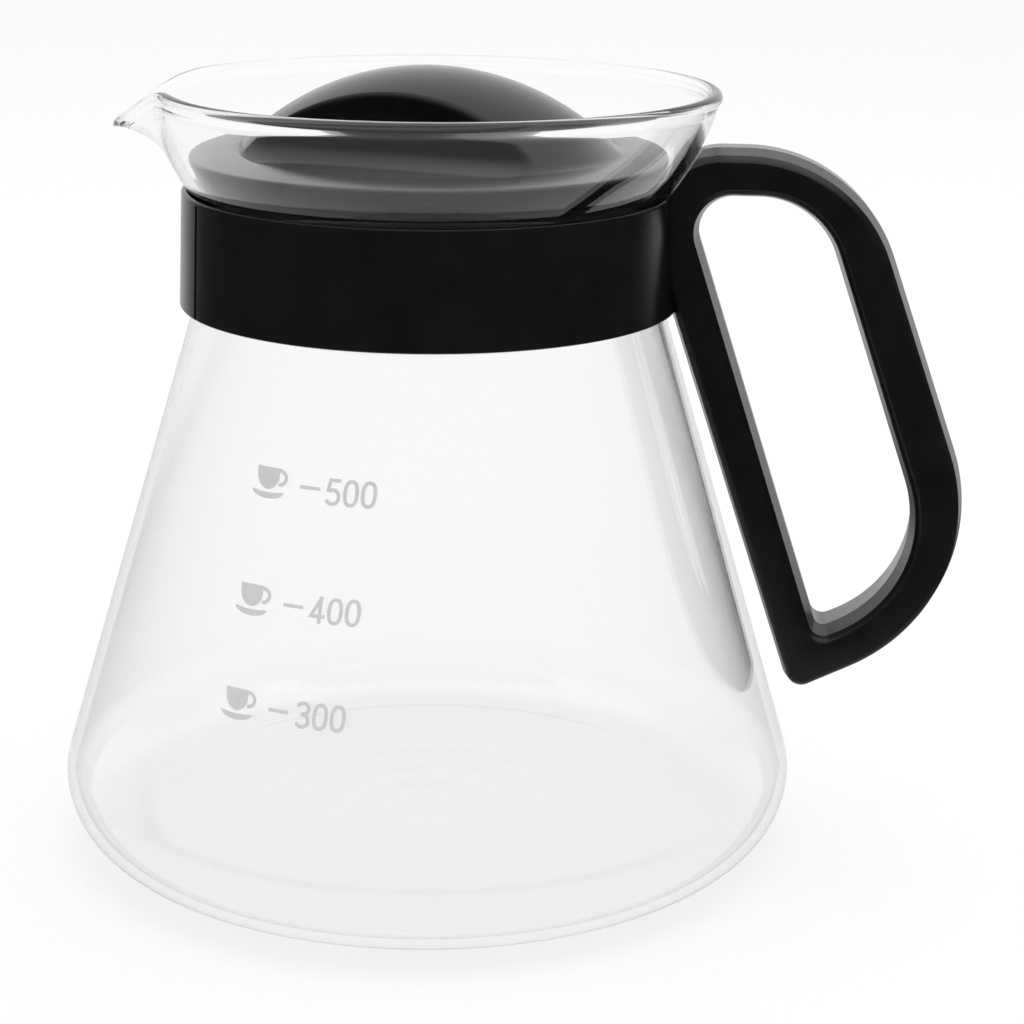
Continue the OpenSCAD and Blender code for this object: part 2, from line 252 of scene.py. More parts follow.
INK_SPREAD = 0.1
INK_SCALE = 900

# Studio light: share of white in each direction
FRONT_GLOSS = 0.04
BACK_GLOSS = 1.0
BACK_EDGE = (0.45, 0.9)
TOP_GLOSS = 1.0
RIGHT_GLOSS = 0.4
TOP_EDGE = (0.5, 0.95)
NEAR_FLOOR_GLOSS = 0.25
GLASS_GLOSS = 0.88
GLASS_FRONT_GLOSS = 0.35
SOFT_LIGHT = 0.7
FLOOR_GLOW = 0.83
FLOOR_WHITE = 0.9

# Glass faces that a ray inside the wall may have crossed, and the least length a direction is divided by
WALL_CROSSINGS = 3.5
NORTHING_LEAST_R = 0.25

# Floor in metres: half its side, its height, and the distances between which its light changes
FLOOR_HALF = 4
FLOOR_Z_GAP = -0.0003
NEAR_FLOOR = (0.09, 0.15)
FAR_FLOOR = (0.3, 1.2)
REAR_FLOOR = (-0.1, 0.0)
HORIZON = (1.2, 3.5)

# Lamp, in metres and watts
LAMP_PLACE = (0.1, 0.1, 1.1)
LAMP_AIM = (0, 0, 0.05)
LAMP_SIZE = (1.0, 1.0)
LAMP_POWER = 9

# Camera, where the photograph was taken from, with its roll in radians and its clip in metres
CAMERA_PLACE = (52.2, -371.6, 162.4)
CAMERA_AIM = (-0.1002, 0.9539, -0.2831)
CAMERA_ROLL = 0.011
CAMERA_LENS = 86.84
CAMERA_SENSOR = 36
CAMERA_CLIP = 0.01


# Node trees
class Value:
    """A socket in a node tree. An expression on values adds its Math nodes."""

    def __init__(self, graph, socket):
        self.graph = graph
        self.socket = socket

    def maths(self, operation, *terms):
        return self.graph.node("ShaderNodeMath", {"operation": operation}, dict(enumerate(terms)))

    def __add__(self, other):
        return self.maths("ADD", self, other)

    def __sub__(self, other):
        return self.maths("SUBTRACT", self, other)

    def __rsub__(self, other):
        return self.maths("SUBTRACT", other, self)

    def __mul__(self, other):
        return self.maths("MULTIPLY", self, other)

    def __truediv__(self, other):
        return self.maths("DIVIDE", self, other)

    def __pow__(self, other):
        return self.maths("POWER", self, other)

    def __neg__(self):
        return self.maths("MULTIPLY", self, -1)

    def __abs__(self):
        return self.maths("ABSOLUTE", self)

    __radd__ = __add__
    __rmul__ = __mul__

    def call(self, operation):
        return self.maths(operation, self)

    def clamped(self, low, high):
        return self.maths("MINIMUM", self.maths("MAXIMUM", self, low), high)


class Graph:
    """A node tree that is being built."""

    def __init__(self, tree):
        self.tree = tree

    def node(self, kind, settings=None, inputs=None, output=0):
        made = self.tree.nodes.new(kind)
        for key, value in (settings or {}).items():
            if key == "stops":
                while len(made.color_ramp.elements) < len(value):
                    made.color_ramp.elements.new(0)
                for element, (place, colour) in zip(made.color_ramp.elements, value):
                    element.position = place
                    element.color = colour
            else:
                setattr(made, key, value)
        self.feed(made, inputs or {})
        return Value(self, made.outputs[output]) if made.outputs else made

    def feed(self, made, inputs):
        for key, value in inputs.items():
            if isinstance(value, Value):
                self.tree.links.new(value.socket, made.inputs[key])
            else:
                made.inputs[key].default_value = value

    def parts(self, vector):
        split = self.node("ShaderNodeSeparateXYZ", None, {0: vector}).socket.node
        return [Value(self, socket) for socket in split.outputs]

    def joined(self, x, y, z):
        return self.node("ShaderNodeCombineXYZ", None, {0: x, 1: y, 2: z})


class GeometryTree(Graph):
    """A Geometry Nodes tree with named inputs, which turns a start mesh into a finished plain mesh."""

    KINDS = {float: "NodeSocketFloat", int: "NodeSocketInt", bpy.types.Material: "NodeSocketMaterial"}

    def __init__(self, name, **sizes):
        super().__init__(bpy.data.node_groups.new(name, "GeometryNodeTree"))
        face = self.tree.interface
        face.new_socket("Geometry", in_out="INPUT", socket_type="NodeSocketGeometry")
        face.new_socket("Geometry", in_out="OUTPUT", socket_type="NodeSocketGeometry")
        self.settings = {}
        for key, value in sizes.items():
            socket = face.new_socket(key, in_out="INPUT", socket_type=self.KINDS[type(value)])
            self.settings[socket.identifier] = value
        entry = self.tree.nodes.new("NodeGroupInput")
        self.inputs = {socket.name: Value(self, socket) for socket in entry.outputs if socket.name}

    def close(self, geometry):
        whole = self.node("GeometryNodeRealizeInstances", None, {"Geometry": geometry})
        smooth = self.node("GeometryNodeSetShadeSmooth", None, {"Geometry": whole})
        dressed = self.node(
            "GeometryNodeSetMaterial", None, {"Geometry": smooth, "Material": self.inputs["finish"]}
        )
        self.node("NodeGroupOutput", None, {0: dressed})

    def grow(self, name, mesh):
        start = add_object(name, mesh)
        modifier = start.modifiers.new(self.tree.name, "NODES")
        modifier.node_group = self.tree
        for identifier, value in self.settings.items():
            modifier[identifier] = value
        settle(start)
        return start


# Plain mesh helpers
def add_object(name, data):
    made = bpy.data.objects.new(name, data)
    bpy.context.scene.collection.objects.link(made)
    return made


def settle(piece):
    """Turns a piece with modifiers into a plain mesh."""
    bpy.context.view_layer.update()
    shown = piece.evaluated_get(bpy.context.evaluated_depsgraph_get())
    plain = bpy.data.meshes.new_from_object(shown)
    plain.name = piece.name
    piece.modifiers.clear()
    piece.data = plain


def mesh_piece(name, points, faces, material):
    """A piece from points in millimetres and the faces between them."""
    mesh = bpy.data.meshes.new(name)
    mesh.from_pydata([Vector(p) * MM for p in points], [], faces)
    mesh.materials.append(material)
    return add_object(name, mesh)


def finish_mesh(piece, crease, merge=PIECE_MERGE):
    """Merges doubles, turns the faces outwards and shades smooth up to a crease angle."""
    shape = bmesh.new()
    shape.from_mesh(piece.data)
    bmesh.ops.remove_doubles(shape, verts=shape.verts, dist=merge * MM)
    bmesh.ops.recalc_face_normals(shape, faces=shape.faces)
    for face in shape.faces:
        face.smooth = True
    for edge in shape.edges:
        edge.smooth = len(edge.link_faces) == 2 and edge.calc_face_angle(0) < math.radians(crease)
    shape.to_mesh(piece.data)
    shape.free()


def joined_piece(name, pieces):
    """Several meshes as one piece."""
    shape = bmesh.new()
    for piece in pieces:
        shape.from_mesh(piece.data)
    mesh = bpy.data.meshes.new(name)
    shape.to_mesh(mesh)
    shape.free()
    mesh.materials.append(pieces[0].data.materials[0])
    for piece in pieces:
        bpy.data.objects.remove(piece)
    return add_object(name, mesh)


def cut_away(piece, tool):
    """Cuts one solid out of another."""
    cut = piece.modifiers.new("cut", "BOOLEAN")
    cut.operation = "DIFFERENCE"
    cut.solver = "EXACT"
    cut.object = tool
    settle(piece)
    bpy.data.objects.remove(tool)


def ring_faces(rows, columns, closed_rows=True, closed_columns=True):
    """Quads over a grid of points, row after row."""
    faces = []
    for i in range(rows if closed_rows else rows - 1):
        for j in range(columns if closed_columns else columns - 1):
            i2, j2 = (i + 1) % rows, (j + 1) % columns
            faces.append((i * columns + j, i * columns + j2, i2 * columns + j2, i2 * columns + j))
    return faces


def turned_arc(name, section, start, end, step=1.5):
    """A closed section of plastic turned round the jar's axis between two angles, with flat ends."""
    whole = end - start >= 360
    count = max(2, round((end - start) / step)) + (0 if whole else 1)
    points = []
    for i in range(count):
        a = math.radians(start + (end - start) * i / (count if whole else count - 1))
        points += [(r * math.cos(a), r * math.sin(a), z) for r, z in section]
    size = len(section)
    faces = ring_faces(count, size, whole)
    if not whole:
        faces += [tuple(range(size)), tuple(range((count - 1) * size, count * size))]
    piece = mesh_piece(name, points, faces, HANDLE_PLASTIC)
    finish_mesh(piece, COLLAR_CREASE)
    return piece


# Plane geometry
def polar(centre, r, angle):
    a = math.radians(angle)
    return (centre[0] + r * math.cos(a), centre[1] + r * math.sin(a))


def spread(low, high, count):
    return [low + (high - low) * i / count for i in range(count + 1)]


def ellipse_line(centre, rx, ry, start, end, count):
    turns = [math.radians(a) for a in spread(start, end, count)]
    return [(centre[0] + rx * math.cos(a), centre[1] + ry * math.sin(a)) for a in turns]


def rounded(corners, radii, inset, steps):
    """Rounded outline through corners, moved in by an inset."""
    outline = []
    for i, corner in enumerate(corners):
        c = Vector(corner)
        a = Vector(corners[i - 1]) - c
        b = Vector(corners[(i + 1) % len(corners)]) - c
        if radii[i] == 0:
            outline.append(tuple(c))
            continue
        u, v = a.normalized(), b.normalized()
        half = math.acos(u.dot(v)) / 2
        r = min(radii[i], CORNER_MAX_SHARE * min(a.length, b.length) * math.tan(half))
        m = c + (u + v).normalized() * r / math.sin(half)
        p, q = c + u * r / math.tan(half) - m, c + v * r / math.tan(half) - m
        start = math.atan2(p.y, p.x)
        turn = (math.atan2(q.y, q.x) - start + 3 * math.pi) % (2 * math.pi) - math.pi
        for k in range(steps + 1):
            angle = start + turn * k / steps
            outline.append(polar(m, r - inset, math.degrees(angle)))
    return outline


def smoothstep(low, high, x):
    t = min(1, max(0, (x - low) / (high - low)))
    return t * t * (3 - 2 * t)


# Shape of the glass
def cone_r(z, inset=0):
    slope = math.radians(CONE_ANGLE)
    return BASE_R + (HEEL_R - inset) / math.cos(slope) - (z - HEEL_R) * math.tan(slope)


COS_CONE = math.cos(math.radians(CONE_ANGLE))
SIN_CONE = math.sin(math.radians(CONE_ANGLE))
THROAT_C = (cone_r(NECK_Z) + THROAT_BEND_R * COS_CONE, NECK_Z + THROAT_BEND_R * SIN_CONE)
FLARE_START = polar(THROAT_C, THROAT_BEND_R, 180 - FLARE_ANGLE)
BOWL_RISE_SHARE = math.sin(math.radians(FLARE_ANGLE)) - math.sin(math.radians(LIP_ANGLE))
BOWL_R = (RIM_Z - FLARE_START[1]) / BOWL_RISE_SHARE
BOWL_C = polar(FLARE_START, -BOWL_R, -FLARE_ANGLE)
SPOUT_ROOT_Z = COLLAR_TOP_Z - SPOUT_ROOT_DROP


def glass_r(z, inset=0):
    """Radius of the neck and flare at a height."""
    if z < FLARE_START[1]:
        return THROAT_C[0] - math.sqrt((THROAT_BEND_R + inset) ** 2 - (z - THROAT_C[1]) ** 2)
    return BOWL_C[0] + math.sqrt((BOWL_R - inset) ** 2 - (z - BOWL_C[1]) ** 2)


def flare_line(inset):
    """Neck and flare from below to above, at an inset from the outer face."""
    bends = spread(180 + CONE_ANGLE, 180 - FLARE_ANGLE, FLARE_STEPS)
    rises = spread(-FLARE_ANGLE, -LIP_ANGLE, FLARE_STEPS)
    line = [polar(THROAT_C, THROAT_BEND_R + inset, a) for a in bends]
    return line + [polar(BOWL_C, BOWL_R - inset, a) for a in rises[1:]]


def rise_share(z):
    return max(0, (z - SPOUT_ROOT_Z) / (RIM_Z - SPOUT_ROOT_Z))


def wall_line(inset):
    """Base, heel and conical wall from the axis up to the neck, at an inset from the outer face."""
    line = [(r, inset) for r in spread(0, BASE_R, BASE_STEPS)]
    line += [polar((BASE_R, HEEL_R), HEEL_R - inset, a) for a in spread(-90, CONE_ANGLE, HEEL_STEPS)[1:]]
    low = line[-1][1]
    top = polar(THROAT_C, THROAT_BEND_R + inset, 180 + CONE_ANGLE)[1]
    return line + [(cone_r(z, inset), z) for z in spread(low, top, WALL_STEPS)[1:-1]]


def jar_profile():
    """Points of the jar's section, up the outside and down the inside, with their rise to the rim."""
    outside, inside = flare_line(0), flare_line(GLASS_WALL)
    bead_c = polar(BOWL_C, BOWL_R - GLASS_WALL / 2, -LIP_ANGLE)
    bead = [polar(bead_c, RIM_BEAD / 2, a - LIP_ANGLE) for a in spread(0, 180, BEAD_STEPS)]
    shares = [rise_share(z) for r, z in outside]
    points = wall_line(0) + outside[:-1] + bead + inside[-2::-1] + wall_line(GLASS_WALL)[::-1]
    below = [0] * len(wall_line(0))
    return points, below + shares[:-1] + [1] * len(bead) + shares[-2::-1] + below


# Materials
def material_graph(name):
    material = bpy.data.materials.new(name)
    material.use_nodes = True
    graph = Graph(material.node_tree)
    shader = next(n for n in material.node_tree.nodes if n.type == "BSDF_PRINCIPLED")
    place = graph.node("ShaderNodeTexCoord", None, None, "Object")
    return material, graph, shader, place


def noise(graph, place, scale, detail=2.0, roughness=0.5):
    sockets = {"Vector": place, "Scale": scale, "Detail": detail, "Roughness": roughness}
    return graph.node("ShaderNodeTexNoise", None, sockets)


def two_tone(graph, share, dark, light, edge):
    """Colour that runs from dark to light as a share rises, even near both ends."""
    stops = ((edge, (*dark, 1)), (1 - edge, (*light, 1)))
    return graph.node("ShaderNodeValToRGB", {"stops": stops}, {"Fac": share})


def eased(graph, value, low, high):
    return graph.node(
        "ShaderNodeMapRange",
        {"interpolation_type": "SMOOTHSTEP"},
        {"Value": value, "From Min": low, "From Max": high},
    )


def moulded_plastic(name, dark, light, rough, scale, depth):
    """Fine-grained moulded plastic: mottled black, uneven sheen and a spark-eroded grain."""
    material, graph, shader, place = material_graph(name)
    mottle = noise(graph, place, MOTTLE_SCALE, 3.0)
    colour = two_tone(graph, mottle, dark, light, 0.3)
    grain = noise(graph, place, scale, 2.0, 0.6)
    bump = graph.node(
        "ShaderNodeBump", None, {"Strength": GRAIN_STRENGTH, "Distance": depth * MM, "Height": grain}
    )
    sheen = rough + SHEEN_SPREAD * mottle - SHEEN_SPREAD / 2
    sockets = {"Base Color": colour, "Roughness": sheen, "Specular IOR Level": 0.5, "Normal": bump}
    graph.feed(shader, sockets)
    return material


def blown_glass():
    """Clear glass with faint pressed rings in the base and the slight waviness of a blown wall."""
    material, graph, shader, place = material_graph("clear_blown_glass")
    x, y, z = graph.parts(place)
    r = (x * x + y * y).call("SQRT")
    inner, outer, low, high = [size * MM for size in RING_FADE + RING_RISE]
    rings = (r * (2 * math.pi / (RING_PITCH * MM))).call("SINE") * (1 - eased(graph, r, inner, outer))
    wave = noise(graph, place, WAVE_SCALE, 0.0) + RING_SHARE * rings * (1 - eased(graph, z, low, high))
    bump = graph.node(
        "ShaderNodeBump", None, {"Strength": WAVE_STRENGTH, "Distance": WAVE_DEPTH * MM, "Height": wave}
    )
    sockets = {"Base Color": GLASS_WHITE, "Roughness": 0.0, "IOR": GLASS_IOR, "Normal": bump}
    graph.feed(shader, {**sockets, "Transmission Weight": 1.0})
    return material


def plated_steel():
    """Zinc-plated steel with a finely flecked sheen."""
    material, graph, shader, place = material_graph("plated_steel")
    fleck = noise(graph, place, STEEL_SCALE, 3.0)
    colour = two_tone(graph, fleck, STEEL_DARK, STEEL_LIGHT, 0.25)
    sheen = STEEL_ROUGH + STEEL_SPREAD * fleck
    graph.feed(shader, {"Base Color": colour, "Metallic": 1.0, "Roughness": sheen})
    return material


def mark_ink():
    """Matt grey printing ink, a little uneven in its cover."""
    material, graph, shader, place = material_graph("printed_grey_ink")
    cover = noise(graph, place, INK_SCALE, 3.0)
    colour = two_tone(graph, cover, INK_DARK, INK_LIGHT, 0.2)
    graph.feed(shader, {"Base Color": colour, "Roughness": INK_ROUGH + INK_SPREAD * cover})
    return material


GLASS = blown_glass()
HANDLE_PLASTIC = moulded_plastic("black_handle_plastic", **HANDLE_FINISH)
LID_PLASTIC = moulded_plastic("satin_lid_plastic", **LID_FINISH)
SCREW_STEEL = plated_steel()
INK = mark_ink()


# Glass jar
def glass_jar():
    """The jar's section turned round its axis, with the lip drawn out and dropped at the spout."""
    profile, rise = jar_profile()
    mesh = bpy.data.meshes.new("jar_section")
    mesh.from_pydata([Vector((r, 0, z)) * MM for r, z in profile], [], [])
    mesh.attributes.new("rise", "FLOAT", "POINT").data.foreach_set("value", rise)
    tree = GeometryTree(
        "turned_with_spout",
        around=JAR_COLUMNS,
        along=len(profile),
        reach=SPOUT_REACH * MM,
        drop=SPOUT_DROP * MM,
        spread=math.radians(SPOUT_SPREAD),
        pinch=SPOUT_PINCH * MM,
        far_pinch=SPOUT_FAR_PINCH * MM,
        pinch_flat=math.radians(PINCH_FLAT),
        pinch_end=math.radians(PINCH_END),
        reach_power=float(REACH_POWER),
        drop_power=float(DROP_POWER),
        pinch_power=float(PINCH_POWER),
        finish=GLASS,
    )
    size = tree.inputs
    grid = tree.node(
        "GeometryNodeMeshGrid",
        None,
        {"Size X": 1.0, "Size Y": 1.0, "Vertices X": size["around"] + 1, "Vertices Y": size["along"]},
    )
    place = tree.node("GeometryNodeInputPosition")
    u, v, _ = tree.parts(place)
    index = ((v + 0.5) * (size["along"] - 1)).call("ROUND")

    def sampled(kind, value):
        inputs = {"Geometry": size["Geometry"], "Value": value, "Index": index}
        return tree.node("GeometryNodeSampleIndex", {"data_type": kind}, inputs)

    r, _, z = tree.parts(sampled("FLOAT_VECTOR", place))
    named = tree.node("GeometryNodeInputNamedAttribute", {"data_type": "FLOAT"}, {"Name": "rise"})
    rise = sampled("FLOAT", named)
    angle = u * (2 * math.pi)
    spout = (-((angle / size["spread"]) ** 2)).call("EXPONENT")
    fade = ((size["pinch_end"] - abs(angle)) / (size["pinch_end"] - size["pinch_flat"])).clamped(0, 1)
    near = (angle / size["pinch_flat"] / 2 + 0.5).clamped(0, 1)
    depth = size["far_pinch"] + (size["pinch"] - size["far_pinch"]) * near
    pinch = depth * (1 - (fade * math.pi).call("COSINE")) / 2
    r = r + size["reach"] * spout * rise ** size["reach_power"] - pinch * rise ** size["pinch_power"]
    z = z - size["drop"] * spout * rise**size["drop_power"]
    turned = tree.joined(-(r * angle.call("COSINE")), -(r * angle.call("SINE")), z)
    bent = tree.node("GeometryNodeSetPosition", None, {"Geometry": grid, "Position": turned})
    merged = {"Geometry": bent, "Distance": JAR_MERGE * MM}
    tree.close(tree.node("GeometryNodeMergeByDistance", None, merged))
    piece = tree.grow("jar", mesh)
    finish_mesh(piece, JAR_CREASE)
    return piece


# Collar and handle
COLLAR_IN_R = cone_r(COLLAR_Z) + GLASS_FIT
COLLAR_R = COLLAR_IN_R + COLLAR_WALL
COLLAR_TOP_IN_R = glass_r(COLLAR_TOP_Z) + GLASS_FIT
COLLAR_TOP_R = max(COLLAR_IN_R, COLLAR_TOP_IN_R) + COLLAR_LIP
LAP_R = (COLLAR_IN_R + COLLAR_TOP_R) / 2
SEAM_GAP_ANGLE = math.degrees(SEAM_GAP / COLLAR_R)
JOINT_ANGLE = math.degrees(math.asin(JOINT_Y / COLLAR_R))
LEG_TOP = (cone_r(COLLAR_Z) + LEG_GAP_TOP, COLLAR_Z)
LEG_FOOT = (cone_r(LEG_FOOT_Z) + LEG_GAP_FOOT, LEG_FOOT_Z)
GRIP_TOP = (COLLAR_R + TOP_REACH, HANDLE_TOP_Z)
GRIP_FOOT = (COLLAR_R + GRIP_REACH, GRIP_FOOT_Z)


def along(p, q, z):
    return p[0] + (q[0] - p[0]) * (z - p[1]) / (q[1] - p[1])


def leg_x(z):
    return along(LEG_FOOT, LEG_TOP, z)


def grip_x(z):
    return along(GRIP_TOP, GRIP_FOOT, z)


HOLE_TOP_Z = HANDLE_TOP_Z - TOP_BAR
HOLE_FOOT_Z = GRIP_FOOT_Z + HOLE_FOOT_RISE
HOLE_LEG_Z = LEG_FOOT_Z + HOLE_LEG_RISE
HANDLE_CORNERS = ((leg_x(HANDLE_TOP_Z), HANDLE_TOP_Z), GRIP_TOP, GRIP_FOOT, LEG_FOOT)
HOLE_CORNERS = (
    (leg_x(HOLE_TOP_Z) + LEG_BAR_TOP, HOLE_TOP_Z),
    (grip_x(HOLE_TOP_Z) - GRIP_BAR_TOP, HOLE_TOP_Z),
    (grip_x(HOLE_FOOT_Z) - GRIP_BAR_FOOT, HOLE_FOOT_Z),
    (leg_x(HOLE_LEG_Z) + LEG_BAR_FOOT, HOLE_LEG_Z),
)
LEG_SCREW_Z = COLLAR_Z - LEG_SCREW_DROP
SCREW_PLACES = (
    (leg_x(LEG_SCREW_Z) + (LEG_BAR_TOP + LEG_BAR_FOOT) / 4, LEG_SCREW_Z),
    ((LEG_FOOT[0] + HOLE_CORNERS[3][0]) / 2, (LEG_FOOT[1] + HOLE_CORNERS[3][1]) / 2),
    ((GRIP_TOP[0] + leg_x(HANDLE_TOP_Z)) / 2, HANDLE_TOP_Z - TOP_BAR / 2),
)
SCREW_SEAT_Y = HANDLE_W / 2 - SCREW_SINK - SCREW_HEAD_H


def handle_layers(side, draft):
    """Insets of the handle's outline and the planes they lie in, from the joint to the face."""
    face = HANDLE_W / 2
    edge = face - EDGE_R
    lean = math.radians(EDGE_START_ANGLE)
    knee = (draft + EDGE_R * math.tan(lean), face)
    layers = [(JOINT_BEVEL, side * JOINT_Y), (0, side * JOINT_Y + JOINT_BEVEL), (draft, edge)]
    for t in spread(0, 1, EDGE_STEPS)[1:]:
        ends = zip((draft, edge), knee, (draft + EDGE_R, face))
        layers.append(tuple((1 - t) ** 2 * a + 2 * t * (1 - t) * k + t * t * b for a, k, b in ends))
    return [(inset, side * y) for inset, y in layers]


def handle_loop(name, side, draft):
    """One half of the loop handle, trimmed to the room that the glass takes."""
    layers = handle_layers(side, draft)
    outer = [rounded(HANDLE_CORNERS, HANDLE_RADII, inset, CORNER_STEPS) for inset, y in layers]
    inner = [rounded(HOLE_CORNERS, HOLE_RADII, -inset, CORNER_STEPS) for inset, y in layers]
    points = []
    for k in range(len(outer[0])):
        points += [(loop[k][0], y, loop[k][1]) for loop, (inset, y) in zip(outer, layers)]
        points += [(loop[k][0], y, loop[k][1]) for loop, (inset, y) in zip(inner[::-1], layers[::-1])]
    half = mesh_piece(name, points, ring_faces(len(outer[0]), 2 * len(layers)), HANDLE_PLASTIC)
    finish_mesh(half, HANDLE_CREASE)
    low = LEG_FOOT_Z - 2 * CUT_OVERRUN
    flare = flare_line(-GLASS_FIT)
    room = [(0, low), (cone_r(low, -GLASS_FIT), low)] + flare + [(0, flare[-1][1])]
    cut_away(half, turned_arc("glass_room", room, 0, 360))
    return half


def screw_bores(bores):
    """Round bores along Y at each screw, each from a diameter and the two planes that it runs between."""
    points, faces = [], []
    count = BORE_SIDES
    for x, z in SCREW_PLACES:
        for d, low, high in bores:
            start = len(points)
            ring = [polar((x, z), d / 2, 360 * i / count) for i in range(count)]
            points += [(px, low, pz) for px, pz in ring] + [(px, high, pz) for px, pz in ring]
            faces += [tuple(start + i for i in face) for face in ring_faces(2, count, False)]
            faces += [tuple(range(start, start + count)), tuple(range(start + count, start + 2 * count))]
    tool = mesh_piece("bores", points, faces, HANDLE_PLASTIC)
    finish_mesh(tool, BORE_CREASE)
    return tool


def collar_section(
    low=COLLAR_Z, high=COLLAR_TOP_Z, inner=COLLAR_IN_R, outer=None, edges=(COLLAR_EDGE_R, COLLAR_EDGE_R)
):
    """Section of the collar's wall between two heights, with its lower and upper outer edges rounded."""
    def outer_r(z):
        return outer or COLLAR_R + (COLLAR_TOP_R - COLLAR_R) * (z - COLLAR_Z) / (COLLAR_TOP_Z - COLLAR_Z)

    section = [(inner, low)]
    for z, side, e in ((low, 1, edges[0]), (high, -1, edges[1])):
        turn = spread(-90, 0, EDGE_STEPS) if side > 0 else spread(0, 90, EDGE_STEPS)
        section += [polar((outer_r(z) - e, z + side * e), e, a) for a in turn] if e else [(outer_r(z), z)]
    if high == COLLAR_TOP_Z and COLLAR_TOP_IN_R > inner:
        lead = (COLLAR_TOP_IN_R - inner) * COLLAR_LEAD_SLOPE
        return section + [(COLLAR_TOP_IN_R, high), (inner, high - lead)]
    return section + [(inner, high)]


def front_half():
    """The half nearer the front, with its share of the collar from the seam to the handle."""
    loop = handle_loop("front_loop", -1, FRONT_DRAFT)
    tip_y = SCREW_SEAT_Y - SCREW_LEN - SCREW_FIT
    cut_away(loop, screw_bores([(SCREW_D + 2 * SCREW_FIT, tip_y, JOINT_Y + CUT_OVERRUN)]))
    finish_mesh(loop, HANDLE_CREASE)
    skin = collar_section(
        high=COLLAR_TOP_Z - SEAM_CAP - CAP_FIT, inner=LAP_R + LAP_FIT, edges=(COLLAR_EDGE_R, 0)
    )
    lap_end = SEAM_DIR + SEAM_LAP + SEAM_GAP_ANGLE
    band = turned_arc("front_band", collar_section(), lap_end, JOINT_ANGLE)
    lap = turned_arc("front_lap", skin, SEAM_DIR + SEAM_GAP_ANGLE / 2, lap_end)
    return joined_piece("front_half", [loop, band, lap])


def rear_half():
    """The half at the back, with its share of the collar, the lap behind the seam and the recesses."""
    loop = handle_loop("rear_loop", 1, REAR_DRAFT)
    cut_away(
        loop,
        screw_bores(
            [
                (SCREW_D + 2 * SCREW_FIT, JOINT_Y - CUT_OVERRUN, SCREW_SEAT_Y - BORE_STEP),
                (SCREW_HEAD_D + 2 * SCREW_FIT, SCREW_SEAT_Y, HANDLE_W / 2 + CUT_OVERRUN),
            ]
        ),
    )
    finish_mesh(loop, HANDLE_CREASE)
    seam = 360 + SEAM_DIR
    tongue = collar_section(outer=LAP_R, edges=(0, 0))
    cap = collar_section(low=COLLAR_TOP_Z - SEAM_CAP, inner=LAP_R - LAP_FIT, edges=(0, COLLAR_EDGE_R))
    band = turned_arc("rear_band", collar_section(), JOINT_ANGLE, seam - SEAM_GAP_ANGLE / 2)
    lap = turned_arc("rear_lap", tongue, seam - LAP_ROOT, seam + SEAM_LAP)
    cover = turned_arc("rear_cap", cap, seam - CAP_ROOT, seam + SEAM_LAP + SEAM_GAP_ANGLE)
    return joined_piece("rear_half", [loop, band, lap, cover])


# Screws
def screw_profile():
    """Section of one screw from the top of its head to its point, as radius and height over the seat."""
    head, shank = SCREW_HEAD_D / 2, SCREW_D / 2
    rim = SCREW_HEAD_H * HEAD_RIM_SHARE
    line = ellipse_line((0, rim), head, SCREW_HEAD_H - rim, 90, 0, HEAD_STEPS) + [(head, 0), (shank, 0)]
    root = shank - THREAD_DEPTH
    for i in range(THREAD_TURNS):
        z = -THREAD_START - (SCREW_LEN - THREAD_START - THREAD_END) * i / THREAD_TURNS
        line += [(root, z), (shank, z - THREAD_CREST), (root, z - THREAD_W)]
    return line + [(shank * POINT_SHARE, -SCREW_LEN + POINT_LEN), (0, -SCREW_LEN)]


def screws():
    """Three self-tapping screws, one shape set at each place."""
    line = screw_profile()
    points = []
    for r, y in line:
        ring = [polar((0, 0), r, 360 * i / SCREW_SIDES) for i in range(SCREW_SIDES)]
        points += [(x, y, z) for x, z in ring]
    one = mesh_piece("one_screw", points, ring_faces(len(line), SCREW_SIDES, False), SCREW_STEEL)
    finish_mesh(one, SCREW_CREASE)
    top = Matrix.Translation((0, SCREW_HEAD_H * MM, 0))
    for turn in (0, 90):
        slot = mesh_piece("slot", *box_points(*CROSS_SLOT), SCREW_STEEL)
        slot.data.transform(top @ Matrix.Rotation(math.radians(turn), 4, "Y"))
        finish_mesh(slot, BORE_CREASE)
        cut_away(one, slot)
    finish_mesh(one, SCREW_CREASE)
    mesh = bpy.data.meshes.new("screw_places")
    mesh.from_pydata([Vector((x, SCREW_SEAT_Y, z)) * MM for x, z in SCREW_PLACES], [], [])
    tree = GeometryTree("screws_at_places", finish=SCREW_STEEL)
    shape = tree.node(
        "GeometryNodeObjectInfo", {"transform_space": "ORIGINAL"}, {"Object": one}, "Geometry"
    )
    points = tree.node("GeometryNodeMeshToPoints", None, {"Mesh": tree.inputs["Geometry"]})
    set_out = tree.node("GeometryNodeInstanceOnPoints", None, {"Points": points, "Instance": shape})
    tree.close(set_out)
    piece = tree.grow("handle_screw_set", mesh)
    bpy.data.objects.remove(one)
    finish_mesh(piece, SCREW_CREASE)
    return piece


def box_points(x, y, z):
    """Corners and faces of a box round the origin."""
    points = [(sx * x / 2, sy * y / 2, sz * z / 2) for sx in (-1, 1) for sy in (-1, 1) for sz in (-1, 1)]
    faces = [(0, 1, 3, 2), (4, 6, 7, 5), (0, 4, 5, 1), (2, 3, 7, 6), (0, 2, 6, 4), (1, 5, 7, 3)]
    return points, faces


